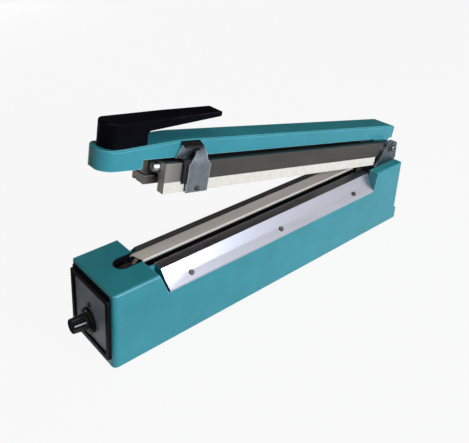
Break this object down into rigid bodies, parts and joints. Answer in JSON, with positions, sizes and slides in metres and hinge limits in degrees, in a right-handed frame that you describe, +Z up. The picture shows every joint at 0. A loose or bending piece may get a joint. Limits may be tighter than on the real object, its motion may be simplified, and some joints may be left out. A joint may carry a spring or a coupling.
{
  "type": "bag sealer",
  "caption": "Hand-pressed impulse bag sealer: long teal base with a heated bed, sprung pressing arm with black handle, sliding film cutter on a side rail, and a front timer knob.",
  "frame": {"origin": "on the table under the middle of the part's box as it stands open", "axes": "+X from the timer knob to the hinge, +Y away from the cutter rail, +Z up"},
  "size_m": [0.4542, 0.08, 0.2307],
  "materials": {
    "teal_paint": "gloss hammer paint on cast metal",
    "bar_aluminium": "anodised, brown-grey",
    "strip_steel": "bright rolled sheet",
    "zinc_steel": "zinc plated",
    "screw_steel": "zinc plated",
    "plate_steel": "grey primer",
    "black_handle": "black moulding",
    "black_plastic": "black moulding",
    "black_rubber": "plain",
    "white_rubber": "cream white silicone",
    "label_film": "blue-grey film on sheet",
    "lamp_lens": "red lens",
    "ptfe_cloth": "coated glass cloth",
    "mica_card": "insulating card",
    "ribbon_alloy": "resistance alloy",
    "brass": "plain",
    "ceramic": "cream insulating block",
    "board": "circuit board",
    "components": "moulded cases",
    "laminations": "stacked laminations",
    "copper_winding": "taped copper winding",
    "spring_steel": "plain wire",
    "blade_steel": "ground",
    "switch_red": "moulded",
    "pot_metal": "plain"
  },
  "bodies": {
    "base": {"base_housing": "teal_paint", "bottom_plate": "plate_steel", "bottom_plate_screws": "screw_steel", "rubber_feet": "black_rubber", "foot_screws": "screw_steel", "foot_nuts": "screw_steel", "front_bezel": "black_plastic", "dial_plate": "label_film", "timer_pot": "pot_metal", "timer_pot_nut": "screw_steel", "indicator_lamp": "lamp_lens", "timer_board": "board", "board_components": "components", "transformer_core": "laminations", "transformer_winding": "copper_winding", "transformer_frame": "zinc_steel", "transformer_screws": "screw_steel", "microswitch": "black_plastic", "switch_bracket": "zinc_steel", "switch_screws": "screw_steel", "cord_grommet": "black_rubber", "seal_bar": "bar_aluminium", "seal_bar_screws": "screw_steel", "insulation_strip": "mica_card", "heating_ribbon": "ribbon_alloy", "release_cover": "ptfe_cloth", "terminal_blocks": "ceramic", "terminal_plates": "brass", "terminal_screws": "brass", "near_strip": "strip_steel", "far_strip": "strip_steel", "strip_screws": "screw_steel", "hinge_bracket": "zinc_steel", "bracket_screws": "screw_steel", "hinge_pin": "zinc_steel", "pin_clips": "spring_steel", "hinge_spacer": "zinc_steel", "return_spring": "spring_steel"},
    "arm": {"arm_beam": "teal_paint", "pivot_bush": "brass", "pressing_bar": "bar_aluminium", "pressing_bar_screws": "screw_steel", "sealing_rubber": "white_rubber", "cutter_rail": "bar_aluminium", "clamping_rubber": "white_rubber", "rail_spacer": "zinc_steel", "rail_bolts": "screw_steel", "stop_screw": "screw_steel", "switch_pin": "zinc_steel", "handle": "black_handle", "handle_screws": "screw_steel"},
    "cutter": {"cutter_shoe": "black_plastic", "cutter_saddle": "zinc_steel", "cutter_grip": "black_plastic", "cutter_blade": "blade_steel", "cutter_screws": "screw_steel"},
    "knob": {"timer_knob": "black_plastic", "timer_shaft": "zinc_steel"},
    "plunger": {"switch_plunger": "switch_red"}
  },
  "joints": [
    {"name": "arm_hinge", "type": "hinge", "parent": "base", "child": "arm", "pos_m": [0.21143, 0, 0.1036], "axis": [0, -1, 0], "range_deg": [0, 12.7], "stiffness_Nm_per_rad": 6, "springref_deg": -25.78, "deforming": ["return_spring"]},
    {"name": "cutter_slide", "type": "slide", "parent": "arm", "child": "cutter", "axis": [0.9755, 0, -0.2198], "range_m": [-0.006, 0.25]},
    {"name": "timer_turn", "type": "hinge", "parent": "base", "child": "knob", "pos_m": [-0.20568, 0.003, 0.03581], "axis": [-0.994, 0, 0.1091], "range_deg": [-150, 150]},
    {"name": "switch_press", "type": "slide", "parent": "base", "child": "plunger", "axis": [0, 0, -1], "range_m": [0, 0.0012]}
  ],
  "couplings": [
    {"joint": "switch_press", "follows": "arm_hinge", "m_per_rad": 0.0054138}
  ]
}
